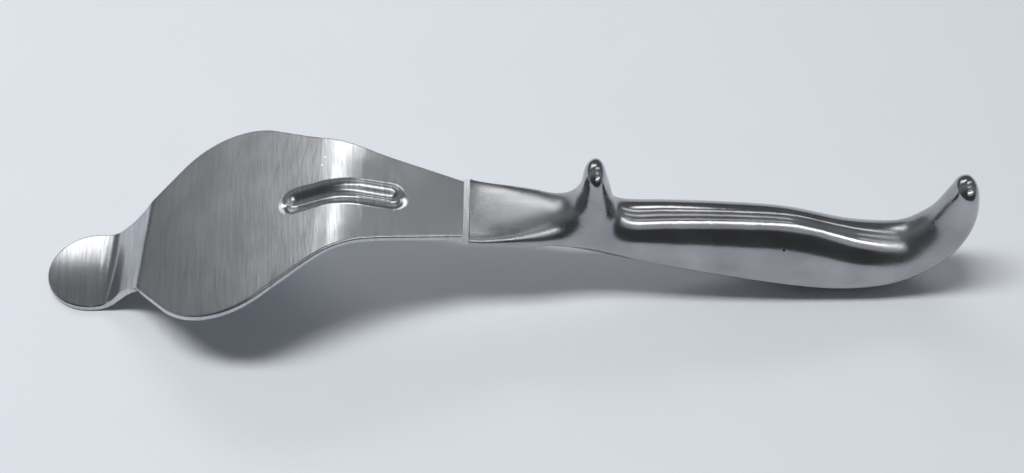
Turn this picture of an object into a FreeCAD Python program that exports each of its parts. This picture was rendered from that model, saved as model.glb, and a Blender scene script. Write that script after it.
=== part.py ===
import FreeCAD, Part
import math
import os
import Sketcher

# A handheld surgical retractor of stainless steel: a bent and beaded blade plate with a tongue,
# butted and brazed to a forged handle with a finger spur and a hooked end.
# Frame: X runs along the instrument towards the hook, Y across it, Z up from the table.
# The origin lies on the table under the middle of the length. Millimetres and degrees.

SIZES = {
    # Reach of each piece from the joint between them
    "blade_reach": 120.0,
    "handle_reach": 138.0,
    # Blade seen from the side: tongue, short riser, sloping plate, bend over the top, neck
    "plate_thickness": 2.0,
    "tongue_length": 17.6,
    "riser_angle": 45.0,
    "riser_height": 11.7,
    "plate_slope": 22.5,
    "crown_height": 36.9,
    "joint_height": 28.3,
    "tongue_bend_radius": 8.0,
    "riser_bend_radius": 3.0,
    "crown_bend_radius": 18.0,
    # Blade seen from above: half widths, and places measured from the tongue's tip
    "tongue_half_width": 13.5,
    "waist_half_width": 13.0,
    "waist_from_tip": 26.5,
    "waist_radius": 9.0,
    "shoulder_half_width": 38.5,
    "shoulder_from_tip": 50.0,
    "shoulder_radius": 22.1,
    "neck_half_width": 17.2,
    "neck_from_tip": 85.9,
    "neck_radius": 90.0,
    "neck_end_half_width": 9.7,
    "rim_radius": 0.7,
    # Stiffening bead pressed down over the bend: a channel on top and a rib below
    "bead_radius": 3.0,
    "bead_depth": 2.2,
    "bead_run_down_plate": 13.6,
    "bead_run_down_neck": 14.1,
    "bead_rim_radius": 3.5,
    "bead_foot_radius": 1.5,
    # Collar at the neck's end, and the tang hidden in the handle
    "collar_length": 1.9,
    "collar_half_width": 10.9,
    "collar_thickness": 2.9,
    "tang_length": 6.0,
    "tang_width": 12.0,
    "tang_thickness": 1.0,
    "tang_drop": 0.8,
    # Finger spur, its blend into the handle, and the domes over the spur and the hook
    "spur_from_joint": 34.1,
    "spur_blend_radius": 2.8,
    "spur_dome_rise": 2.7,
    "hook_dome_rise": 3.0,
}

# Handle sections from the joint to the hook, each square to the handle's line. From_joint and
# rise place the widest level, half is the half width there, crown the height above that level
# and keel the depth below it. Full is the squareness of the corners and tilt the upward turn of
# the handle's line.
HANDLE_SECTIONS = {
    "seat": {"from_joint": 0.0, "rise": 27.3, "half": 11.5, "crown": 1.4, "keel": 1.7, "full": 0.93},
    "strap": {"from_joint": 8.0, "rise": 25.9, "half": 10.7, "crown": 2.0, "keel": 1.6, "full": 0.86},
    "taper": {"from_joint": 16.0, "rise": 24.5, "half": 9.9, "crown": 3.7, "keel": 1.8, "full": 0.76},
    "root": {"from_joint": 24.0, "rise": 22.7, "half": 9.2, "crown": 6.0, "keel": 2.4, "full": 0.64},
    "front": {"from_joint": 34.0, "rise": 20.5, "half": 8.75, "crown": 8.4, "keel": 3.0, "full": 0.57},
    "nape": {"from_joint": 44.0, "rise": 18.3, "half": 8.8, "crown": 10.5, "keel": 3.7},
    "grip": {"from_joint": 60.0, "rise": 14.6, "half": 9.4, "crown": 13.9, "keel": 4.6},
    "swell": {"from_joint": 76.0, "rise": 11.2, "half": 9.8, "crown": 16.4, "keel": 5.4},
    "palm": {"from_joint": 89.0, "rise": 8.8, "half": 9.9, "crown": 17.0, "keel": 6.4},
    "belly": {"from_joint": 103.0, "rise": 7.3, "half": 9.7, "crown": 14.0, "keel": 7.28},
    "heel": {"from_joint": 113.0, "rise": 7.8, "half": 9.4, "crown": 11.8, "keel": 6.8, "tilt": 6.0},
    "bend": {"from_joint": 120.1, "rise": 9.6, "half": 8.8, "crown": 10.2, "keel": 6.1, "tilt": 18.0},
    "lift": {"from_joint": 125.7, "rise": 13.0, "half": 8.2, "crown": 9.1, "keel": 5.2, "tilt": 38.0},
    "turn": {"from_joint": 130.2, "rise": 17.7, "half": 7.6, "crown": 8.8, "keel": 4.8, "tilt": 55.0},
    "stem": {"from_joint": 133.1, "rise": 23.3, "half": 6.8, "crown": 7.9, "keel": 4.3, "tilt": 70.0},
    "hook": {"from_joint": 134.3, "rise": 29.3, "half": 6.0, "crown": 6.7, "keel": 3.75, "tilt": 80.0},
    "horn": {"from_joint": 134.3, "rise": 34.0, "half": 5.3, "crown": 5.2, "keel": 3.1, "tilt": 90.0},
    "tip": {"from_joint": 133.9, "rise": 36.6, "half": 4.8, "crown": 3.9, "keel": 2.8, "tilt": 95.0},
}

# Spur sections, level with the table: height, half width, and reach towards blade and hook
SPUR_SECTIONS = {
    "spur_base": {"level": 21.5, "half": 8.4, "ahead": 12.0, "behind": 8.0},
    "spur_root": {"level": 24.2, "half": 8.7, "ahead": 16.5, "behind": 7.6},
    "spur_foot": {"level": 26.5, "half": 8.5, "ahead": 16.6, "behind": 6.8},
    "spur_flare": {"level": 28.8, "half": 8.2, "ahead": 10.5, "behind": 5.9},
    "spur_shin": {"level": 31.0, "half": 7.9, "ahead": 7.0, "behind": 5.1},
    "spur_calf": {"level": 34.0, "half": 7.3, "ahead": 5.0, "behind": 4.5},
    "spur_waist": {"level": 38.0, "half": 6.2, "ahead": 4.0, "behind": 3.6},
    "spur_top": {"level": 42.9, "half": 5.0, "ahead": 3.3, "behind": 2.4},
}

# Squareness of a section that is two half ellipses
ELLIPSE = 0.552

# A dome carries on from the last section of a taper, so it starts a little above its own widest
# level: each angle is how far round the dome's quarter circle a section lies.
DOME_START = 13.0
DOME_STEPS = (36.0, 58.0, 76.0, 86.0)

doc = FreeCAD.newDocument("retractor")
sheet = doc.addObject("Spreadsheet::Sheet", "sizes")


def fill_sheet():
    """Writes every driving size as a plain number with its own alias."""
    entries = dict(SIZES)
    for section, values in list(HANDLE_SECTIONS.items()) + list(SPUR_SECTIONS.items()):
        for part, value in values.items():
            entries["%s_%s" % (section, part)] = value
    for row, (alias, value) in enumerate(entries.items(), 1):
        sheet.set("A%d" % row, alias)
        sheet.set("B%d" % row, repr(value))
        sheet.setAlias("B%d" % row, alias)
    doc.recompute()


fill_sheet()


def get(alias):
    """Reads one size from the sheet."""
    return float(sheet.get(alias))


def flat(x, y):
    return FreeCAD.Vector(x, y, 0)


def upright(point):
    """Turns a point drawn in the side view into one in space."""
    return FreeCAD.Vector(point.x, 0, point.y)


def unit(vector):
    return FreeCAD.Vector(vector).normalize()


def new_body(name):
    body = doc.addObject("PartDesign::Body", name)
    body.Label = name
    return body


def new_sketch(body, name, plane_role):
    """A sketch on one of the body's own origin planes."""
    sketch = body.newObject("Sketcher::SketchObject", name)
    plane = [feature for feature in body.Origin.OriginFeatures if feature.Role == plane_role][0]
    sketch.AttachmentSupport = [(plane, "")]
    sketch.MapMode = "FlatFace"
    return sketch


def pad_or_pocket(body, kind, name, sketch, length=None):
    """A pad or pocket that spreads to both sides of its sketch: right through without a length."""
    feature = body.newObject("PartDesign::" + kind, name)
    feature.Profile = sketch
    feature.Midplane = True
    if length:
        feature.setExpression("Length", length)
    else:
        feature.Type = 1
    doc.recompute()


def rounded_outline(corners, radii):
    """The straight runs and tangent arcs of an outline whose inner corners are rounded."""
    pieces = []
    last = corners[0]
    for before, corner, after, radius in zip(corners, corners[1:], corners[2:], radii):
        back = unit(before - corner)
        ahead = unit(after - corner)
        half_angle = back.getAngle(ahead) / 2
        cut = radius / math.tan(half_angle)
        start = corner + back * cut
        finish = corner + ahead * cut
        centre = corner + unit(back + ahead) * (radius / math.sin(half_angle))
        middle = centre + unit(corner - centre) * radius
        if start.distanceToPoint(last) > 1e-6:
            pieces.append(Part.LineSegment(last, start))
        pieces.append(Part.Arc(start, middle, finish))
        last = finish
    pieces.append(Part.LineSegment(last, corners[-1]))
    return pieces


def polygon(corners):
    return [Part.LineSegment(a, b) for a, b in zip(corners, corners[1:] + corners[:1])]


def middle_of(edge):
    return edge.valueAt((edge.FirstParameter + edge.LastParameter) / 2)


def turned_round(pieces):
    """The same lines and arcs run the other way."""
    turned = []
    for piece in reversed(pieces):
        if isinstance(piece, Part.Arc):
            arc = piece.toShape()
            turned.append(Part.Arc(arc.valueAt(arc.LastParameter), middle_of(arc),
                                   arc.valueAt(arc.FirstParameter)))
        else:
            turned.append(Part.LineSegment(piece.EndPoint, piece.StartPoint))
    return turned


def end_number(piece, last):
    """Which end of a sketch piece is its first or last point. A sketch keeps its arcs turning
    anticlockwise, so an arc that runs clockwise has its ends swapped."""
    if isinstance(piece, Part.Arc):
        clockwise = piece.toShape().Edges[0].Curve.Axis.z < 0
        return (1 if clockwise else 2) if last else (2 if clockwise else 1)
    return 2 if last else 1


def draw_closed(sketch, pieces):
    """Adds pieces that run end to end, and joins each end to the next start."""
    first = sketch.GeometryCount
    for piece in pieces:
        sketch.addGeometry(piece, False)
    for index, piece in enumerate(pieces):
        following = (index + 1) % len(pieces)
        sketch.addConstraint(Sketcher.Constraint(
            "Coincident", first + index, end_number(piece, True),
            first + following, end_number(pieces[following], False)))


def round_edges(body, name, edges, alias):
    """Rounds the named edges of the body as it stands."""
    base = body.Tip
    fillet = body.newObject("PartDesign::Fillet", name)
    fillet.Base = (base, edges)
    fillet.setExpression("Radius", "sizes." + alias)
    doc.recompute()


# The blade's top line in the side view, from the tongue's tip to the joint

joint_x = (get("blade_reach") - get("handle_reach")) / 2
tip_x = joint_x - get("blade_reach")
thickness = get("plate_thickness")

tip_corner = flat(tip_x, thickness)
tongue_corner = tip_corner + flat(get("tongue_length"), 0)
riser_run = get("riser_height") / math.tan(math.radians(get("riser_angle")))
riser_corner = tongue_corner + flat(riser_run, get("riser_height"))
plate_rise = get("crown_height") - riser_corner.y
plate_run = plate_rise / math.tan(math.radians(get("plate_slope")))
crown_corner = riser_corner + flat(plate_run, plate_rise)
joint_corner = flat(joint_x, get("joint_height"))
top_line = [tip_corner, tongue_corner, riser_corner, crown_corner, joint_corner]


def lowered(depth):
    """The corners of the line at a depth below the plate's top, with the same first and last x."""
    runs = [unit(after - before) for before, after in zip(top_line, top_line[1:])]
    normals = [flat(run.y, -run.x) for run in runs]
    corners = [top_line[0] - flat(0, depth / abs(normals[0].y))]
    for corner, first, second in zip(top_line[1:], normals, normals[1:]):
        half_turn = first.getAngle(second) / 2
        corners.append(corner + unit(first + second) * (depth / math.cos(half_turn)))
    corners.append(top_line[-1] - flat(0, depth / abs(normals[-1].y)))
    return corners


def plate_line(depth):
    """The rounded line that runs inside the plate at a depth below its top."""
    return rounded_outline(lowered(depth), [
        get("tongue_bend_radius") + depth,
        get("riser_bend_radius") + thickness - depth,
        get("crown_bend_radius") + thickness - depth])


# The bead follows a round bar that runs beside the plate's top line over the bend, and sinks
# into the plate by the bead's depth.

down_plate = unit(riser_corner - crown_corner)
down_neck = unit(joint_corner - crown_corner)
plate_normal = flat(down_plate.y, -down_plate.x)
neck_normal = flat(-down_neck.y, down_neck.x)
bend_half = down_plate.getAngle(down_neck) / 2
bend_turn = 180 - 2 * math.degrees(bend_half)
crown_outer = get("crown_bend_radius") + thickness
bend_centre = crown_corner + unit(down_plate + down_neck) * (crown_outer / math.sin(bend_half))
bend_run = crown_outer / math.tan(bend_half)
bar_line_radius = crown_outer + get("bead_radius") - get("bead_depth")


def round_bar(body, kind, name, radius_formula):
    """Adds or cuts a round bar with ball ends that runs down the plate and down the neck."""
    shapes = []
    for side, normal, direction in (("plate", plate_normal, down_plate), ("neck", neck_normal, down_neck)):
        start = upright(bend_centre + normal * bar_line_radius)
        run = get("bead_run_down_" + side) - bend_run
        turn = FreeCAD.Rotation(FreeCAD.Vector(0, 0, 1), upright(direction))
        bar = body.newObject("PartDesign::%sCylinder" % kind, "%s_%s_bar" % (name, side))
        bar.Height = run
        bar.Placement = FreeCAD.Placement(start, turn)
        ball = body.newObject("PartDesign::%sSphere" % kind, "%s_%s_ball" % (name, side))
        ball.Placement = FreeCAD.Placement(start + upright(direction) * run, turn)
        shapes += [bar, ball]
    for shape in shapes:
        shape.setExpression("Radius", radius_formula)
    bend = body.newObject("PartDesign::%sTorus" % kind, name + "_bend")
    bend.Radius1 = bar_line_radius
    bend.setExpression("Radius2", radius_formula)
    bend.Angle3 = bend_turn
    turn = FreeCAD.Rotation(upright(plate_normal), FreeCAD.Vector(), FreeCAD.Vector(0, 1, 0), "ZXY")
    bend.Placement = FreeCAD.Placement(upright(bend_centre), turn)
    doc.recompute()


def depth_in_plate(point):
    """How deep a point lies below the top of the sloping plate, the bend or the neck."""
    spoke = flat(point.x, point.z) - bend_centre
    if spoke.dot(down_plate) > 0:
        return crown_outer - spoke.dot(plate_normal)
    if spoke.dot(down_neck) > 0:
        return crown_outer - spoke.dot(neck_normal)
    return crown_outer - spoke.Length


def bead_edges(shape, depth):
    """Names of the edges where the bead runs out into the plate's top or underside."""
    reach = get("bead_radius") + thickness
    first_x = crown_corner.x - get("bead_run_down_plate") - reach
    last_x = crown_corner.x + get("bead_run_down_neck") + reach
    found = []
    for number, edge in enumerate(shape.Edges, 1):
        middle = middle_of(edge)
        near = abs(middle.y) < reach and first_x < middle.x < last_x
        if near and abs(depth_in_plate(middle) - depth) < 0.01:
            found.append("Edge%d" % number)
    return found


def outline_edges(shape):
    """Names of the edges round the plate's outline, above and below its upright rim."""
    rim_faces = []
    for face in shape.Faces:
        low_u, high_u, low_v, high_v = face.ParameterRange
        normal = face.normalAt((low_u + high_u) / 2, (low_v + high_v) / 2)
        if abs(normal.z) < 1e-6 and face.CenterOfMass.x < joint_x - 0.01:
            rim_faces.append(face)
    found = []
    for number, edge in enumerate(shape.Edges, 1):
        owners = sum(any(edge.isSame(other) for other in face.Edges) for face in rim_faces)
        if owners == 1 and edge.BoundBox.XLength > 1e-4:
            found.append("Edge%d" % number)
    return found


def draw_plan(sketch):
    """The plate's outline seen from above: a round tongue, a waist, broad shoulders and a
    tapering neck, inside a larger rectangle, so that a pocket leaves only the plate."""
    tongue_half = get("tongue_half_width")
    far_half = [
        flat(tip_x, 0),
        flat(tip_x, tongue_half),
        flat(tip_x + get("waist_from_tip"), get("waist_half_width")),
        flat(tip_x + get("shoulder_from_tip"), get("shoulder_half_width")),
        flat(tip_x + get("neck_from_tip"), get("neck_half_width")),
        flat(joint_x, get("neck_end_half_width")),
    ]
    near_half = [flat(corner.x, -corner.y) for corner in far_half]
    # The tongue's end is one arc that just meets its mirror image on the centre line
    tongue_turn = unit(far_half[0] - far_half[1]).getAngle(unit(far_half[2] - far_half[1]))
    radii = [tongue_half * math.tan(tongue_turn / 2), get("waist_radius"),
             get("shoulder_radius"), get("neck_radius")]
    draw_closed(sketch, rounded_outline(far_half, radii)
                + [Part.LineSegment(far_half[-1], near_half[-1])]
                + turned_round(rounded_outline(near_half, radii)))
    clear = get("shoulder_half_width")
    draw_closed(sketch, polygon([
        flat(tip_x - clear, -2 * clear), flat(joint_x + clear, -2 * clear),
        flat(joint_x + clear, 2 * clear), flat(tip_x - clear, 2 * clear)]))


neck_middle = (joint_corner.y + lowered(thickness)[-1].y) / 2


def tang_outline():
    """The tang in the side view, sloping down a little into the handle."""
    half = get("tang_thickness") / 2
    drop = get("tang_drop")
    far_x = joint_x + get("tang_length")
    return polygon([flat(joint_x, neck_middle - half), flat(far_x, neck_middle - drop - half),
                    flat(far_x, neck_middle - drop + half), flat(joint_x, neck_middle + half)])


def add_loft(body, name, sections, ruled=False):
    loft = body.newObject("PartDesign::AdditiveLoft", name)
    loft.Profile = sections[0]
    loft.Sections = sections[1:]
    loft.Ruled = ruled
    doc.recompute()


def add_collar(body):
    """The neck's end thickens and widens to meet the handle. It starts just inside the neck."""
    length = get("collar_length")
    inset = 0.05
    taper = (get("neck_half_width") - get("neck_end_half_width")) / (
        get("blade_reach") - get("neck_from_tip"))
    start_half = get("neck_end_half_width") + taper * length - inset
    start_middle = neck_middle - down_neck.y / down_neck.x * length
    sections = []
    for name, x, half, middle, tall in (
            ("collar_start", joint_x - length, start_half, start_middle, thickness - 2 * inset),
            ("collar_end", joint_x, get("collar_half_width"), neck_middle, get("collar_thickness"))):
        section = new_sketch(body, name, "YZ_Plane")
        section.AttachmentOffset = FreeCAD.Placement(FreeCAD.Vector(0, middle, x), FreeCAD.Rotation())
        draw_closed(section, polygon([flat(-half, -tall / 2), flat(half, -tall / 2),
                                      flat(half, tall / 2), flat(-half, tall / 2)]))
        sections.append(section)
    add_loft(body, "collar", sections, ruled=True)


def make_blade():
    body = new_body("blade")

    # The rib below the bead is the underside of a thicker bar, cut off inside the plate
    round_bar(body, "Additive", "rib", "sizes.bead_radius + sizes.plate_thickness")
    ceiling = 2 * get("crown_height")
    rib_crop = new_sketch(body, "rib_crop", "XZ_Plane")
    middle_line = plate_line(thickness / 2)
    start = lowered(thickness / 2)[0]
    finish = lowered(thickness / 2)[-1]
    draw_closed(rib_crop, middle_line + [
        Part.LineSegment(finish, flat(joint_x, ceiling)),
        Part.LineSegment(flat(joint_x, ceiling), flat(tip_x, ceiling)),
        Part.LineSegment(flat(tip_x, ceiling), start)])
    pad_or_pocket(body, "Pocket", "rib_trim", rib_crop)

    side = new_sketch(body, "blade_side", "XZ_Plane")
    underside = lowered(thickness)
    draw_closed(side, plate_line(0)
                + [Part.LineSegment(joint_corner, underside[-1])]
                + turned_round(plate_line(thickness))
                + [Part.LineSegment(underside[0], tip_corner)])
    pad_or_pocket(body, "Pad", "blade_plate", side, "2 * sizes.shoulder_half_width")

    plan = new_sketch(body, "blade_plan", "XY_Plane")
    draw_plan(plan)
    pad_or_pocket(body, "Pocket", "blade_trim", plan)

    round_bar(body, "Subtractive", "channel", "sizes.bead_radius")
    round_edges(body, "channel_rim", bead_edges(body.Tip.Shape, 0), "bead_rim_radius")
    round_edges(body, "rib_foot", bead_edges(body.Tip.Shape, thickness), "bead_foot_radius")
    round_edges(body, "outline_rim", outline_edges(body.Tip.Shape), "rim_radius")

    add_collar(body)
    tang_side = new_sketch(body, "tang_side", "XZ_Plane")
    draw_closed(tang_side, tang_outline())
    pad_or_pocket(body, "Pad", "tang", tang_side, "sizes.tang_width")
    return body


def egg(half, crown, keel, full=ELLIPSE):
    """Upper and lower curve of a section, each a degree 3 spline from side to side. The sides
    are upright where the curves meet."""
    curves = []
    for rise in (crown, -keel):
        poles = [flat(half, 0), flat(half, full * rise), flat(full * half, rise),
                 flat(-full * half, rise), flat(-half, full * rise), flat(-half, 0)]
        if rise < 0:
            poles.reverse()
        curve = Part.BSplineCurve()
        curve.buildFromPolesMultsKnots(poles, [4, 2, 4], [0.0, 0.5, 1.0], False, 3)
        curves.append(curve)
    return curves


def dome_scales(rise):
    """Share of the last section's size, and height above it, of each section of a dome."""
    start = math.radians(DOME_START)
    radius = rise / (1 - math.sin(start))
    for angle in DOME_STEPS:
        turn = math.radians(angle)
        yield math.cos(turn) / math.cos(start), radius * (math.sin(turn) - math.sin(start))


def handle_section(body, name, scale=1.0, lift=0.0, label=""):
    """A section of the handle, or one of the dome's that carry on above it: scaled about its
    middle and lifted along the handle's line."""
    values = HANDLE_SECTIONS[name]
    crown = get(name + "_crown")
    keel = get(name + "_keel")
    tilt = get(name + "_tilt") if "tilt" in values else 0.0
    full = get(name + "_full") if "full" in values else ELLIPSE
    turn = FreeCAD.Rotation(FreeCAD.Vector(1, 0, 0), -tilt)
    place = FreeCAD.Vector(0, get(name + "_rise"), joint_x + get(name + "_from_joint"))
    along = turn.multVec(FreeCAD.Vector(0, (crown - keel) / 2 * (1 - scale), lift))
    section = new_sketch(body, "section_" + name + label, "YZ_Plane")
    section.AttachmentOffset = FreeCAD.Placement(place + along, turn)
    draw_closed(section, egg(get(name + "_half") * scale, crown * scale, keel * scale, full))
    return section


def spur_section(body, name, scale=1.0, lift=0.0, label=""):
    """A level section of the spur, or one of the dome's above it."""
    ahead = get(name + "_ahead")
    behind = get(name + "_behind")
    middle = (behind - ahead) / 2 * (1 - scale)
    section = new_sketch(body, "section_" + name + label, "XY_Plane")
    section.AttachmentOffset = FreeCAD.Placement(
        FreeCAD.Vector(joint_x + get("spur_from_joint") + middle, 0, get(name + "_level") + lift),
        FreeCAD.Rotation(FreeCAD.Vector(0, 0, 1), 90))
    draw_closed(section, egg(get(name + "_half") * scale, ahead * scale, behind * scale))
    return section


def with_dome(body, make_section, names, rise):
    """Sections through the named places, then those of a dome over the last."""
    sections = [make_section(body, name) for name in names]
    last = list(names)[-1]
    for number, (scale, lift) in enumerate(dome_scales(rise), 1):
        sections.append(make_section(body, last, scale, lift, "_dome_%d" % number))
    return sections


def spur_foot_edges(shape):
    """Names of the edges round the spur's foot, where it comes out of the handle."""
    spur_x = joint_x + get("spur_from_joint")
    found = []
    for number, edge in enumerate(shape.Edges, 1):
        box = edge.BoundBox
        near = spur_x - get("spur_root_ahead") < box.XMin and box.XMax < spur_x + get("spur_base_behind")
        if near and box.ZMax < get("spur_shin_level"):
            found.append("Edge%d" % number)
    return found


def make_handle():
    body = new_body("handle")
    add_loft(body, "grip_loft",
             with_dome(body, handle_section, HANDLE_SECTIONS, get("hook_dome_rise")))
    add_loft(body, "spur_loft",
             with_dome(body, spur_section, SPUR_SECTIONS, get("spur_dome_rise")))
    round_edges(body, "spur_blend", spur_foot_edges(body.Tip.Shape), "spur_blend_radius")
    slot_side = new_sketch(body, "slot_side", "XZ_Plane")
    draw_closed(slot_side, tang_outline())
    pad_or_pocket(body, "Pocket", "tang_slot", slot_side, "sizes.tang_width")
    return body


def check_and_write(bodies):
    """Stops at a failed object or a bad shape, then writes each piece to its own file."""
    doc.recompute()
    for thing in doc.Objects:
        if "Invalid" in thing.State or "Error" in thing.State:
            raise RuntimeError("%s failed: %s" % (thing.Name, thing.State))
    for body in bodies:
        shape = body.Shape
        if shape.isNull() or not shape.isValid() or len(shape.Solids) != 1:
            raise RuntimeError("%s has a bad shape" % body.Label)
    os.makedirs("parts", exist_ok=True)
    for body in bodies:
        body.Shape.exportStep("parts/%s.step" % body.Label)


check_and_write([make_blade(), make_handle()])
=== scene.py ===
import math

import bpy
import numpy as np
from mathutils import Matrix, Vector


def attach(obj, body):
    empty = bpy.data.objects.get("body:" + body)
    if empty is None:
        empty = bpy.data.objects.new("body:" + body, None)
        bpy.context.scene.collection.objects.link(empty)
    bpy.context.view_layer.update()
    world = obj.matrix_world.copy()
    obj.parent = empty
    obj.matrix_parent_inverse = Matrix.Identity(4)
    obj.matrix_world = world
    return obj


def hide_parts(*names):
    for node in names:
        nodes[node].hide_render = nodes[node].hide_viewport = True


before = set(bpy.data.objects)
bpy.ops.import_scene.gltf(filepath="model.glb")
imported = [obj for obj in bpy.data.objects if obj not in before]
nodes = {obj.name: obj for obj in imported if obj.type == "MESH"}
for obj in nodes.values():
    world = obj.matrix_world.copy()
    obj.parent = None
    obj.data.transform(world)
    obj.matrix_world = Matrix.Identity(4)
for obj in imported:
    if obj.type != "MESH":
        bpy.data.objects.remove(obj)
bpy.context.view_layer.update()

MM = 0.001

# The photograph's camera: 50 degrees above the table, 493 mm from the instrument's middle
CAMERA_ELEVATION = 50
CAMERA_DISTANCE = 493 * MM
CAMERA_LENS = 59.77
CAMERA_SENSOR = 36
CAMERA_AIM = Vector((2.6 * MM, 14.0 * MM, 0))

# The ceiling's lamps, in metres: the middle's place (along the instrument and across it, the far
# side positive), length, width, turn in degrees, brightness, and whether each lights the table and
# shows in the steel. The spotlight casts the shadows. The panels beyond the far side are mirrored in
# the blade and the strap, and the strips draw the long lines in the polished grip.
CEILING = 1.6
LAMPS = {
    "spotlight": ((-0.53, -0.08), 1.10, 0.34, 0, 17, True, False),
    "far_panel": ((-0.28, 1.82), 1.52, 0.80, 12, 2.6, True, True),
    "left_panel": ((-1.56, 2.70), 1.20, 2.00, 0, 1.3, True, True),
    "far_strip": ((1.20, 1.42), 2.36, 0.24, 32, 1.6, False, True),
    "far_glow": ((0.50, 0.22), 1.20, 0.22, 18, 0.8, False, True),
    "near_glow": ((0.50, -0.34), 1.20, 0.16, 18, 0.8, False, True),
    "near_strip": ((0.75, -0.68), 2.20, 0.26, 18, 3.6, False, True),
    "near_haze": ((0.75, -1.25), 2.60, 0.80, 18, 0.45, False, True),
}

# Brightness of the room by direction, from the far wall over the ceiling to the near wall, and its
# slightly blue colour
ROOM = ((0.0, 0.13), (0.22, 0.15), (0.40, 0.27), (0.54, 0.18), (0.68, 0.075), (0.90, 0.06), (1.0, 0.07))
ROOM_TINT = (0.96, 0.99, 1.06)

TABLE_HALF = 1.5
TABLE_DARK = (0.80, 0.835, 0.885)
TABLE_LIGHT = (0.83, 0.865, 0.915)
TABLE_ROUGHNESS = 0.55

# The blade's brushed grain: cells to the metre across it, how much shorter it is across than along,
# its lean in degrees, detail and raggedness
BROAD_STREAKS = (1300, 0.05, -6, 3, 0.6)
FINE_STREAKS = (3600, 0.04, -5, 3, 0.7)
SCRATCHES = (1700, 0.03, 9, 1, 0.5)
SATIN_DARK = (0.36, 0.37, 0.385)
SATIN_LIGHT = (0.70, 0.71, 0.725)
SATIN_ROUGHNESS = (0.26, 0.17)
GRAIN_DEPTH = 0.006 * MM
HOLLOWS_DEPTH = 0.16 * MM

# The tongue's top is a little rounded: its highest point, where the rounding starts and is full,
# and how far it falls, in metres for a distance of one metre squared
TONGUE_TOP = Vector((-117, 5, 2)) * MM
TONGUE_BEND = (-106 * MM, -112 * MM)
TONGUE_FALL = 3.3

# Painted glints: small bright specks on the blade's bend, lighter and smoother steel that stands in for
# glints of light. Place and radius
PAINTED_GLINTS = (
    (Vector((-48.6, 13.2, 34.9)) * MM, 0.45 * MM),
    (Vector((-49.3, 10.5, 34.6)) * MM, 0.40 * MM),
)

# Where the handle's polish starts and is full: the grip from both ends, and the two tips
GRIP_START = (26 * MM, 40 * MM)
GRIP_END = (112 * MM, 98 * MM)
SPUR_TIP_RISE = (38 * MM, 42 * MM)
SPUR_TIP_END = (60 * MM, 50 * MM)
HOOK_TIP_RISE = (33 * MM, 36.5 * MM)
HOOK_TIP_START = (110 * MM, 120 * MM)
POLISHED_DARK = (0.34, 0.345, 0.355)
POLISHED_LIGHT = (0.46, 0.465, 0.475)
POLISHED_ROUGHNESS = (0.11, 0.16)
SATIN_ADDED = (0.11, 0.19)
WAVE_DEPTH = 0.045 * MM
BUFFING_DEPTH = 0.0024 * MM

# Pits in the polished grip, as the photograph shows them: place and radius
PITS = (
    (Vector((76.8, -7.7, 20.1)) * MM, 0.55 * MM),
    (Vector((80.4, -7.3, 20.1)) * MM, 0.45 * MM),
    (Vector((57.7, -6.9, 23.5)) * MM, 0.40 * MM),
    (Vector((71.5, -7.3, 21.7)) * MM, 0.35 * MM),
    (Vector((57.2, -7.1, 23.3)) * MM, 0.35 * MM),
)
# The pits are not cut into the steel: this near-black is painted shade, standing in for the shade inside them
PIT_PAINTED_SHADE = (0.02, 0.02, 0.022)
PIT_ROUGHNESS = 0.4

# The skin that shows in the handle's place: its grid, and the box at the spur's foot where the strap's
# sides run into the flare in one sweep (start, full, full and end along x, then up z, in mm)
SKIN_GRID = 0.45 * MM
SWEEP_ALONG = (9, 15, 36, 44)
SWEEP_UP = (17, 21, 29, 34)
SWEEP_ROUNDS = 140
SWEEP_STEP = 0.5

MERGE_DISTANCE = 1e-6


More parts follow.
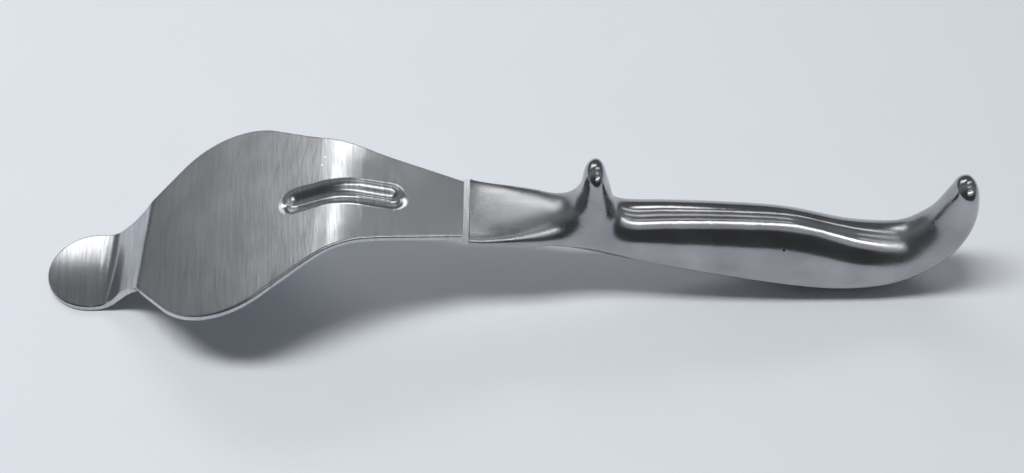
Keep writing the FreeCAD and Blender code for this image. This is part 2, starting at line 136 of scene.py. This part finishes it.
class Graph:
    """A material's nodes, made and joined in one call each."""

    def __init__(self, name):
        self.material = bpy.data.materials.new(name)
        self.material.use_nodes = True
        self.tree = self.material.node_tree
        self.shader = self.tree.nodes["Principled BSDF"]
        self.place = self.node("ShaderNodeTexCoord").outputs["Object"]

    def feed(self, socket, value):
        """Joins another socket to this one, or sets a plain value on it."""
        if isinstance(value, bpy.types.NodeSocket):
            self.tree.links.new(value, socket)
        else:
            socket.default_value = value

    def node(self, kind, settings=None, **inputs):
        """A node with its settings and inputs. An input goes by its name, or as i and its number."""
        made = self.tree.nodes.new(kind)
        for setting, value in (settings or {}).items():
            setattr(made, setting, value)
        for name, value in inputs.items():
            self.feed(made.inputs[int(name[1:]) if name[1:].isdigit() else name], value)
        return made

    def surface(self, **inputs):
        """Sets the shader's inputs, with an underscore for each space in a name."""
        for name, value in inputs.items():
            self.feed(self.shader.inputs[name.replace("_", " ")], value)

    def noise(self, scale, detail=2.0, stretch=(1, 1, 1), lean=0, ragged=0.5):
        """Noise with so many cells to the metre, drawn out along the small parts of its stretch."""
        turned = self.node("ShaderNodeMapping", Vector=self.place, Rotation=(0, 0, math.radians(lean)))
        drawn = self.node("ShaderNodeMapping", Vector=turned.outputs[0],
                          Scale=tuple(part * scale for part in stretch))
        made = self.node("ShaderNodeTexNoise", Vector=drawn.outputs[0], Scale=1.0, Detail=detail,
                         Roughness=ragged)
        return made.outputs["Fac"]

    def grain(self, scale, width, lean, detail, ragged):
        """Noise drawn out across the blade."""
        return self.noise(scale, detail, (1, width, width), lean, ragged)

    def spread(self, value, low, high, start=0.0, end=1.0, smooth=False):
        """Maps a value from one range to another, held at the ends."""
        made = self.node("ShaderNodeMapRange",
                         {"interpolation_type": "SMOOTHSTEP" if smooth else "LINEAR", "clamp": True},
                         i0=value, i1=low, i2=high, i3=start, i4=end)
        return made.outputs[0]

    def contrast(self, noise, start=0.0, end=1.0):
        """Noise keeps near its middle, so its middle part is spread over the whole range."""
        return self.spread(noise, 0.3, 0.7, start, end)

    def combine(self, how, first, second):
        return self.node("ShaderNodeMath", {"operation": how}, i0=first, i1=second).outputs[0]

    def plus(self, first, second):
        return self.combine("ADD", first, second)

    def minus(self, first, second):
        return self.combine("SUBTRACT", first, second)

    def times(self, first, second):
        return self.combine("MULTIPLY", first, second)

    def most(self, first, second):
        return self.combine("MAXIMUM", first, second)

    def tint(self, value, dark, light):
        """A colour between two, by a value from 0 to 1."""
        first, second = (end if isinstance(end, bpy.types.NodeSocket) else (*end, 1) for end in (dark, light))
        return self.node("ShaderNodeMix", {"data_type": "RGBA"}, i0=value, i6=first, i7=second).outputs[2]

    def away_from(self, point):
        made = self.node("ShaderNodeVectorMath", {"operation": "DISTANCE"}, i0=self.place, i1=point)
        return made.outputs["Value"]

    def spots(self, places):
        """1 inside each of the round spots given by place and radius, and 0 outside them."""
        marked = None
        for middle, radius in places:
            spot = self.spread(self.away_from(middle), radius, radius * 0.45, smooth=True)
            marked = spot if marked is None else self.most(marked, spot)
        return marked

    def bump(self, height, depth, **normal):
        return self.node("ShaderNodeBump", Height=height, Distance=depth, Strength=1.0, **normal).outputs[0]


def satin_steel():
    """Brushed stainless steel. The grain runs across the blade, a little askew: broad streaks,
    fine streaks and single scratches, with soft cloudy patches. Below the grain the surface is a
    little uneven, and the tongue falls away from its highest point as the distance squared."""
    graph = Graph("satin_steel")
    streaks = graph.plus(graph.times(graph.grain(*BROAD_STREAKS), 0.45),
                         graph.times(graph.grain(*FINE_STREAKS), 0.55))
    scratch = graph.times(graph.spread(graph.grain(*SCRATCHES), 0.66, 0.74), 0.3)
    clouds = graph.spread(graph.noise(45), 0.35, 0.65)
    tone = graph.plus(graph.times(graph.minus(graph.contrast(streaks), scratch), 0.75),
                      graph.times(clouds, 0.25))
    # Painted glints: the specks lighten the blade's colour where glints of light would show
    tone = graph.plus(tone, graph.spots(PAINTED_GLINTS))

    x = graph.node("ShaderNodeSeparateXYZ", Vector=graph.place).outputs["X"]
    swell = graph.times(graph.combine("POWER", graph.away_from(TONGUE_TOP), 2.0),
                        graph.spread(x, *TONGUE_BEND, 0.0, -TONGUE_FALL, smooth=True))
    hollows = graph.times(graph.noise(60, 1.5), HOLLOWS_DEPTH)
    unevenness = graph.bump(graph.plus(swell, hollows), 1.0)
    graph.surface(Metallic=1.0, Anisotropic=0.5,
                  Base_Color=graph.tint(tone, SATIN_DARK, SATIN_LIGHT),
                  Roughness=graph.spread(tone, 0.0, 1.0, *SATIN_ROUGHNESS),
                  Tangent=graph.node("ShaderNodeCombineXYZ", X=1.0).outputs[0],
                  Normal=graph.bump(graph.minus(streaks, scratch), GRAIN_DEPTH, Normal=unevenness))
    return graph.material


def polished_steel():
    """Polished stainless steel. The grip's top and the tips are bright and a little wavy, the
    strap, the spur's foot and the hook are buffed to satin, and small pits show in the grip as painted shade:
    near-black spots, not hollows."""
    graph = Graph("polished_steel")
    x, y, z = graph.node("ShaderNodeSeparateXYZ", Vector=graph.place).outputs
    grip = graph.times(graph.spread(x, *GRIP_START, smooth=True), graph.spread(x, *GRIP_END, smooth=True))
    spur_tip = graph.times(graph.spread(z, *SPUR_TIP_RISE, smooth=True), graph.spread(x, *SPUR_TIP_END))
    hook_tip = graph.times(graph.spread(z, *HOOK_TIP_RISE, smooth=True), graph.spread(x, *HOOK_TIP_START))
    satin = graph.minus(1.0, graph.most(grip, graph.most(spur_tip, hook_tip)))
    buffing = graph.noise(700, 3, (0.05, 1, 1), ragged=0.6)
    clouds = graph.noise(90, 3)
    # Painted shade: the pits darken the colour as spots, not hollows
    pit_shade = graph.spots(PITS)
    roughness = graph.plus(graph.contrast(buffing, *POLISHED_ROUGHNESS),
                           graph.times(satin, graph.contrast(clouds, *SATIN_ADDED)))
    metal = graph.tint(graph.contrast(clouds), POLISHED_DARK, POLISHED_LIGHT)
    waviness = graph.bump(graph.noise(110, 1.5, (0.45, 1, 1)), WAVE_DEPTH)
    graph.surface(Metallic=1.0, Base_Color=graph.tint(pit_shade, metal, PIT_PAINTED_SHADE),
                  Roughness=graph.plus(roughness, graph.times(pit_shade, PIT_ROUGHNESS)),
                  Normal=graph.bump(buffing, BUFFING_DEPTH, Normal=waviness))
    return graph.material


def show(name, mesh):
    """Puts a mesh in the scene as an object of that name."""
    shown = bpy.data.objects.new(name, mesh)
    bpy.context.scene.collection.objects.link(shown)
    return shown


def dress(body, material):
    """Gives a CAD node its material and merges its loose triangles."""
    body.data.materials.clear()
    body.data.materials.append(material)
    body.modifiers.new("weld", "WELD").merge_threshold = MERGE_DISTANCE


def shade_flats_evenly(body):
    """Lets flat faces shade flat right up to their rounds."""
    shading = body.modifiers.new("shading", "WEIGHTED_NORMAL")
    shading.mode = "FACE_AREA_WITH_ANGLE"
    shading.keep_sharp = True


def finer_copy(body):
    """A copy of a CAD node's mesh on an even fine grid that lies on the node's surface, with the
    node's own normals."""
    rough = show("fine_grid", body.data.copy())
    rough.modifiers.new("weld", "WELD").merge_threshold = MERGE_DISTANCE
    grid = rough.modifiers.new("grid", "REMESH")
    grid.mode = "VOXEL"
    grid.voxel_size = SKIN_GRID
    rough.modifiers.new("wrap", "SHRINKWRAP").target = body
    normals = rough.modifiers.new("normals", "DATA_TRANSFER")
    normals.object = body
    normals.use_loop_data = True
    normals.data_types_loops = {"CUSTOM_NORMAL"}
    normals.loop_mapping = "POLYINTERP_NEAREST"
    seen = rough.evaluated_get(bpy.context.evaluated_depsgraph_get())
    mesh = bpy.data.meshes.new_from_object(seen)
    bpy.data.meshes.remove(rough.data)
    return mesh


def read(items, name, width, kind=np.float32):
    """A property of all the items as an array, with so many numbers to a row."""
    values = np.empty(len(items) * width, dtype=kind)
    items.foreach_get(name, values)
    return values.reshape(-1, width)


def total_at(index, values, count):
    """The rows of values added up for each index."""
    return np.stack([np.bincount(index, weights=values[:, axis], minlength=count)
                     for axis in range(3)], axis=1)


def share_within(value, span):
    """A share that rises smoothly from 0 at the span's start to 1, stays there and falls again."""
    start, full, full_end, end = (step * MM for step in span)
    part = np.minimum(np.clip((value - start) / (full - start), 0, 1),
                      np.clip((end - value) / (end - full_end), 0, 1))
    return part * part * (3 - 2 * part)


def handle_skin(body, material):
    """The handle as it shows: the CAD handle on a fine grid. At the spur's foot each point, and its
    normal, moves part of the way to its neighbours' mean in each round, which takes out the short
    creases of the joined shapes."""
    mesh = finer_copy(body)
    count = len(mesh.vertices)
    points = read(mesh.vertices, "co", 3).astype(float)
    corners = read(mesh.loops, "vertex_index", 1, np.int32)[:, 0]
    normal = total_at(corners, read(mesh.corner_normals, "vector", 3), count)
    edges = read(mesh.edges, "vertices", 2, np.int32)
    ends = np.concatenate([edges[:, 0], edges[:, 1]])
    others = np.concatenate([edges[:, 1], edges[:, 0]])
    neighbours = np.bincount(ends, minlength=count)[:, None]

    share = share_within(points[:, 0], SWEEP_ALONG) * share_within(points[:, 2], SWEEP_UP)
    step = SWEEP_STEP * share[:, None]
    for _ in range(SWEEP_ROUNDS):
        points = points + step * (total_at(ends, points[others], count) / neighbours - points)
        normal = normal + step * (total_at(ends, normal[others], count) / neighbours - normal)
    normal = normal / np.linalg.norm(normal, axis=1)[:, None]

    mesh.vertices.foreach_set("co", points.astype(np.float32).ravel())
    mesh.polygons.foreach_set("use_smooth", np.ones(len(mesh.polygons), dtype=bool))
    mesh.materials.clear()
    mesh.materials.append(material)
    mesh.normals_split_custom_set_from_vertices(normal.tolist())
    mesh.update()
    skin = show("handle_skin", mesh)
    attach(skin, "root")
    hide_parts("handle")


def table():
    """A plain pale table: a flat square grid."""
    graph = Graph("pale_table")
    graph.surface(Base_Color=graph.tint(graph.noise(25, 3), TABLE_DARK, TABLE_LIGHT),
                  Roughness=TABLE_ROUGHNESS)
    x, y = np.meshgrid(*[np.linspace(-TABLE_HALF, TABLE_HALF, 3)] * 2)
    points = np.stack([x, y, np.zeros_like(x)], axis=-1).reshape(-1, 3)
    index = np.arange(9).reshape(3, 3)
    faces = np.stack([index[:-1, :-1], index[:-1, 1:], index[1:, 1:], index[1:, :-1]], axis=-1)
    mesh = bpy.data.meshes.new("table_top")
    mesh.from_pydata(points.tolist(), [], faces.reshape(-1, 4).tolist())
    mesh.materials.append(graph.material)
    show("table_top", mesh)


def ceiling_lamp(name, middle, length, width, turn, brightness, lights_table, shows_in_steel):
    """A flat lamp on the ceiling that faces straight down."""
    lamp = bpy.data.lights.new(name, "AREA")
    lamp.shape = "RECTANGLE"
    lamp.size = length
    lamp.size_y = width
    lamp.energy = brightness * math.pi * length * width
    holder = show(name, lamp)
    holder.location = (*middle, CEILING)
    holder.rotation_euler = (0, 0, math.radians(turn))
    holder.visible_diffuse = lights_table
    holder.visible_glossy = shows_in_steel


def room():
    """A dim room: the far wall, a lighter ceiling and a dark near side."""
    world = bpy.data.worlds.new("room")
    world.use_nodes = True
    tree = world.node_tree
    direction = tree.nodes.new("ShaderNodeTexCoord").outputs["Generated"]
    parts = tree.nodes.new("ShaderNodeSeparateXYZ")
    tree.links.new(direction, parts.inputs[0])
    across = tree.nodes.new("ShaderNodeMapRange")
    tree.links.new(parts.outputs["Y"], across.inputs["Value"])
    across.inputs["From Min"].default_value = 1
    across.inputs["From Max"].default_value = -1
    ramp = tree.nodes.new("ShaderNodeValToRGB")
    tree.links.new(across.outputs[0], ramp.inputs[0])
    stops = ramp.color_ramp.elements
    for place, level in ROOM[1:-1]:
        stops.new(place)
    for stop, (place, level) in zip(stops, ROOM):
        stop.position = place
        stop.color = (*(level * part for part in ROOM_TINT), 1)
    tree.links.new(ramp.outputs[0], tree.nodes["Background"].inputs["Color"])
    bpy.context.scene.world = world


def camera():
    """Looks at the instrument from the photograph's place."""
    eye = bpy.data.cameras.new("camera")
    eye.lens = CAMERA_LENS
    eye.sensor_width = CAMERA_SENSOR
    rise = math.radians(CAMERA_ELEVATION)
    holder = show("camera", eye)
    holder.location = CAMERA_AIM - Vector((0, math.cos(rise), -math.sin(rise))) * CAMERA_DISTANCE
    holder.rotation_euler = (math.pi / 2 - rise, 0, 0)
    bpy.context.scene.camera = holder


dress(nodes["blade"], satin_steel())
shade_flats_evenly(nodes["blade"])
polished = polished_steel()
dress(nodes["handle"], polished)
handle_skin(nodes["handle"], polished)
table()
for name, sizes in LAMPS.items():
    ceiling_lamp(name, *sizes)
room()
camera()
bpy.context.scene.view_settings.view_transform = "Standard"
